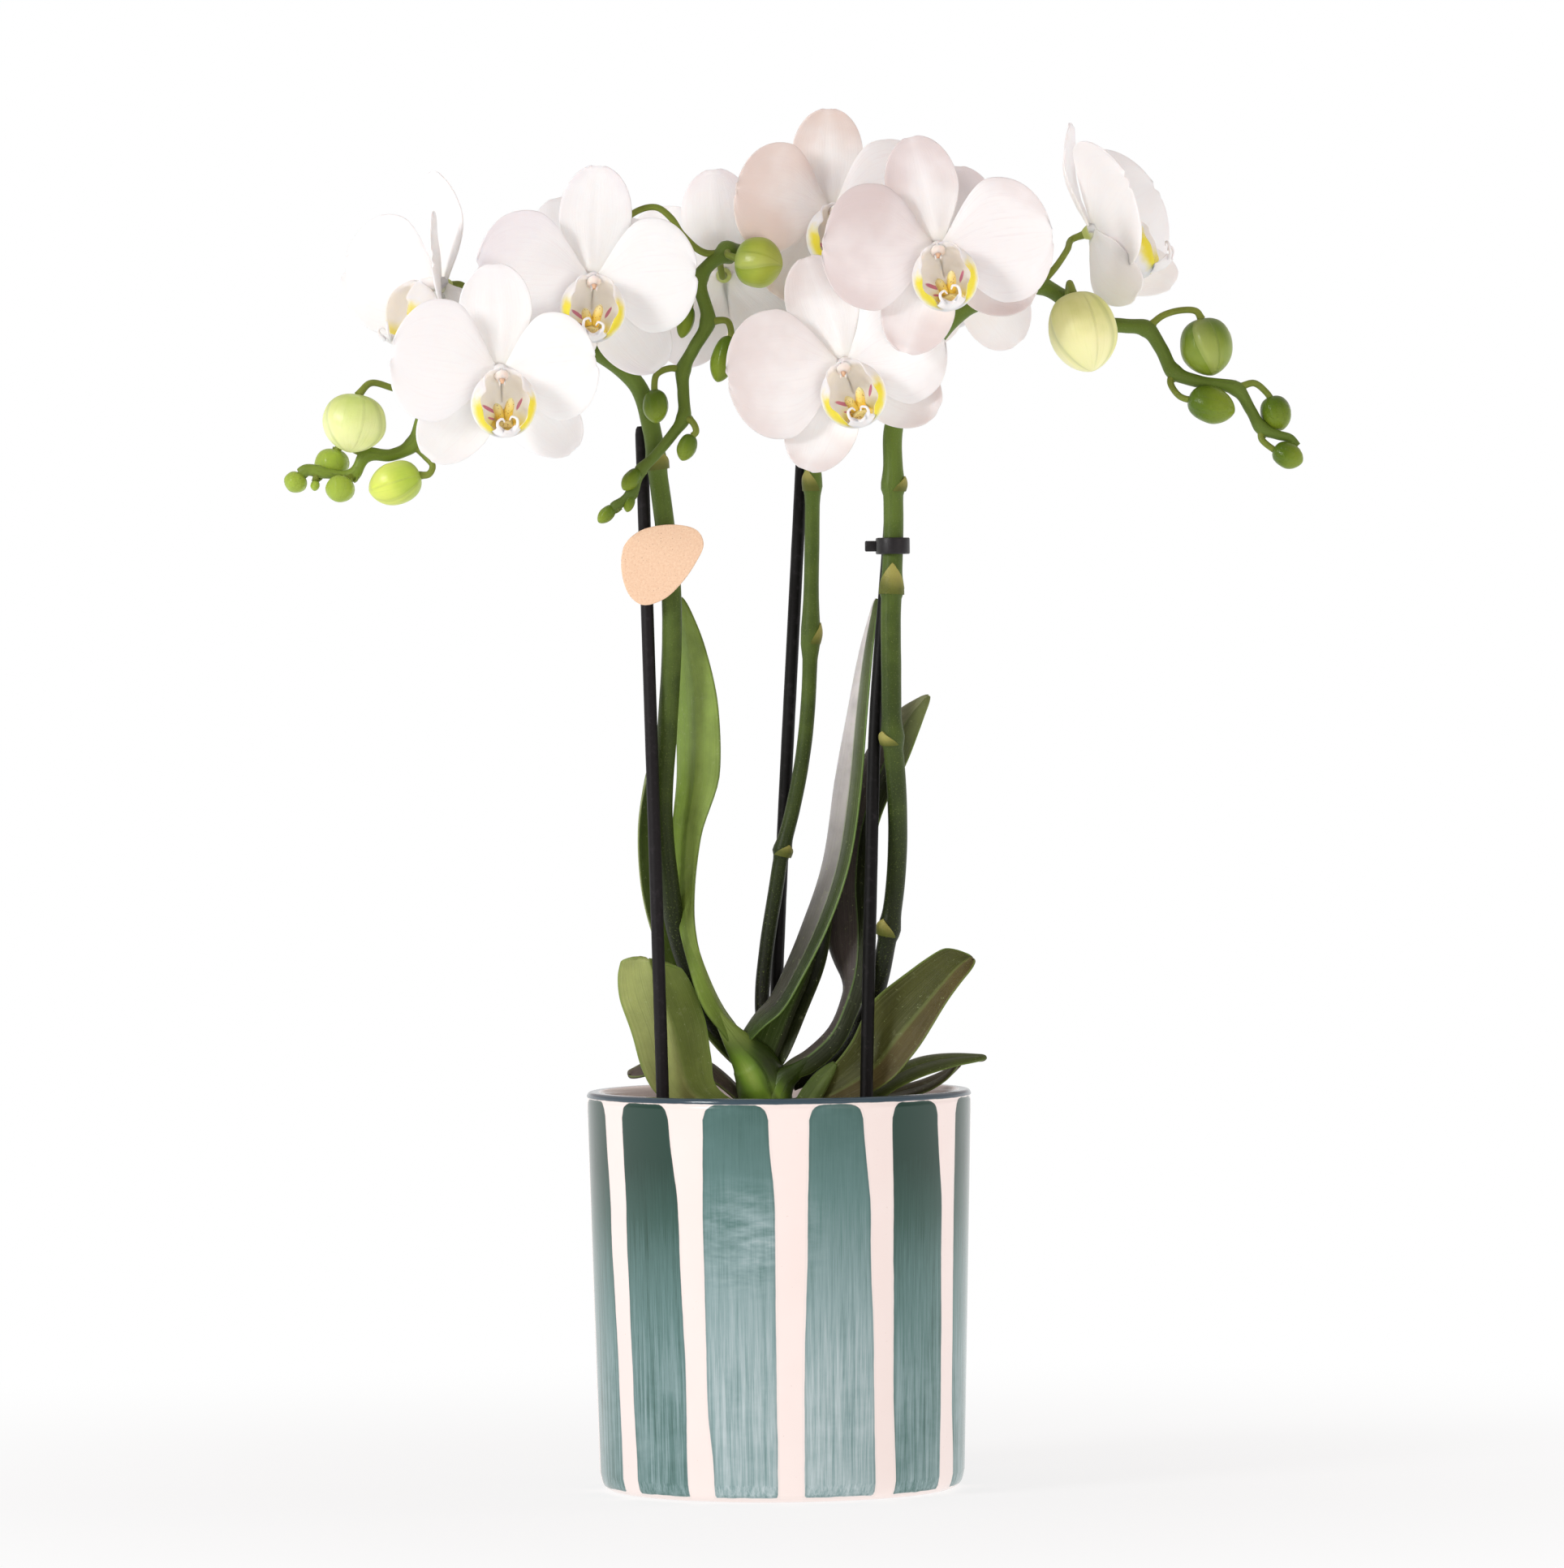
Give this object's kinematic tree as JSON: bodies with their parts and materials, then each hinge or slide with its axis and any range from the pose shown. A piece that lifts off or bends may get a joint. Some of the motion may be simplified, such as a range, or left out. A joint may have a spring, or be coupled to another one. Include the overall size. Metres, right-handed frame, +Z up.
{
  "type": "potted orchid",
  "caption": "Potted moon orchid with white blooms on arching spikes, tied to stakes, in a round glazed pot with painted upright stripes.",
  "frame": {"origin": "centre of the ceramic pot's flat underside", "axes": "+Z up along the pot's axis, +X to the right as the bloom faces are seen, +Y from the bloom side towards the back"},
  "size_m": [0.2852, 0.1169, 0.3881],
  "materials": {
    "glazed_ceramic": "glossy glazed ceramic, hand painted blue-green stripes on cream",
    "nursery_plastic": "thin dark nursery plastic",
    "bark": "rough fir bark",
    "crown": "fresh green plant tissue",
    "leaf": "leathery green leaf, half gloss",
    "stem": "smooth green stem",
    "bud": "soft yellow green bud",
    "petal": "soft white petal",
    "lip": "white, yellow and magenta marked lip",
    "black_plastic": "black plastic",
    "card": "plain uncoated kraft card"
  },
  "bodies": {
    "root": {"pot": "glazed_ceramic", "grow_pot": "nursery_plastic", "crown": "crown", "leaf_left_tall": "leaf", "leaf_left_behind": "leaf", "leaf_left_front": "leaf", "leaf_left_low": "leaf", "leaf_right_tall": "leaf", "leaf_right_inner": "leaf", "leaf_right_arched": "leaf", "leaf_right_broad": "leaf", "leaf_right_low": "leaf", "leaf_right_back": "leaf", "leaf_right_stub": "leaf", "bark": "bark", "stake_left": "black_plastic", "stake_middle": "black_plastic", "stake_right": "black_plastic", "spike_left": "stem", "spike_middle": "stem", "spike_right": "stem", "clip_left": "black_plastic", "clip_middle": "black_plastic", "clip_right": "black_plastic", "tag": "card", "bloom_a": "petal", "lip_a": "lip", "bloom_b": "petal", "lip_b": "lip", "bloom_c": "petal", "lip_c": "lip", "bloom_d": "petal", "lip_d": "lip", "bloom_e": "petal", "lip_e": "lip", "bloom_f": "petal", "lip_f": "lip", "bloom_g": "petal", "lip_g": "lip", "bloom_h": "petal", "lip_h": "lip", "bloom_i": "petal", "lip_i": "lip", "bloom_j": "petal", "lip_j": "lip", "bud_left_high": "bud", "bud_left_low": "bud", "bud_middle": "bud", "bud_right_large": "bud", "bud_right_upper": "bud"}
  },
  "joints": []
}
